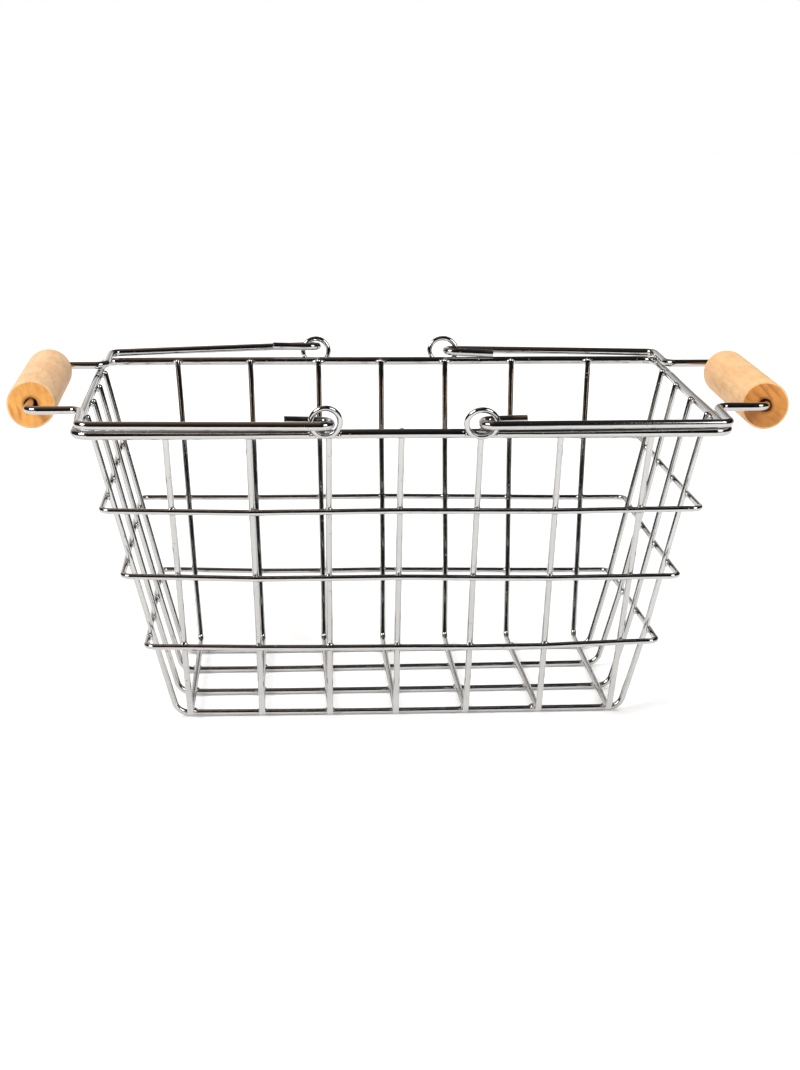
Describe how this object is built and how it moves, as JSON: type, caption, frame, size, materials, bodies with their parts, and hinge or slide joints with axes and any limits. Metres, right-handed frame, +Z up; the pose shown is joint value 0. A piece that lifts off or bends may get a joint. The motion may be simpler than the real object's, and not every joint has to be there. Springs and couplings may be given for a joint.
{
  "type": "wire basket",
  "caption": "Rectangular chromed wire basket with open tapering walls and floor, a stout rim, bail handles that hinge on welded rings, and turned wooden grips.",
  "frame": {"origin": "on the ground, under the middle of the basket's floor", "axes": "+X along the long sides towards the right grip, +Y towards the back long side, +Z up"},
  "size_m": [0.4288, 0.2436, 0.1903],
  "materials": {
    "chrome_wire": "polished",
    "grip_wood": "sanded, bare beech"
  },
  "bodies": {
    "basket": {"rim": "chrome_wire", "cross_wire_1": "chrome_wire", "cross_wire_2": "chrome_wire", "cross_wire_3": "chrome_wire", "cross_wire_4": "chrome_wire", "cross_wire_5": "chrome_wire", "cross_wire_6": "chrome_wire", "cross_wire_7": "chrome_wire", "length_wire_1": "chrome_wire", "length_wire_2": "chrome_wire", "length_wire_3": "chrome_wire", "length_wire_4": "chrome_wire", "top_hoop": "chrome_wire", "middle_hoop": "chrome_wire", "bottom_hoop": "chrome_wire", "left_front_ring": "chrome_wire", "left_back_ring": "chrome_wire", "right_front_ring": "chrome_wire", "right_back_ring": "chrome_wire"},
    "left_handle": {"left_handle": "chrome_wire"},
    "right_handle": {"right_handle": "chrome_wire"},
    "left_grip": {"left_grip": "grip_wood"},
    "right_grip": {"right_grip": "grip_wood"}
  },
  "joints": [
    {"name": "left_handle_hinge", "type": "hinge", "parent": "basket", "child": "left_handle", "pos_m": [-0.0412, 0, 0.1797], "axis": [0, 1, 0], "range_deg": [0, 100.5]},
    {"name": "right_handle_hinge", "type": "hinge", "parent": "basket", "child": "right_handle", "pos_m": [0.0412, 0, 0.1797], "axis": [0, -1, 0], "range_deg": [0, 100.5]},
    {"name": "left_grip_spin", "type": "hinge", "parent": "left_handle", "child": "left_grip", "pos_m": [-0.2017, 0.006, 0.1776], "axis": [0, 1, 0], "continuous": true},
    {"name": "right_grip_spin", "type": "hinge", "parent": "right_handle", "child": "right_grip", "pos_m": [0.2017, -0.01, 0.1776], "axis": [0, 1, 0], "continuous": true}
  ]
}
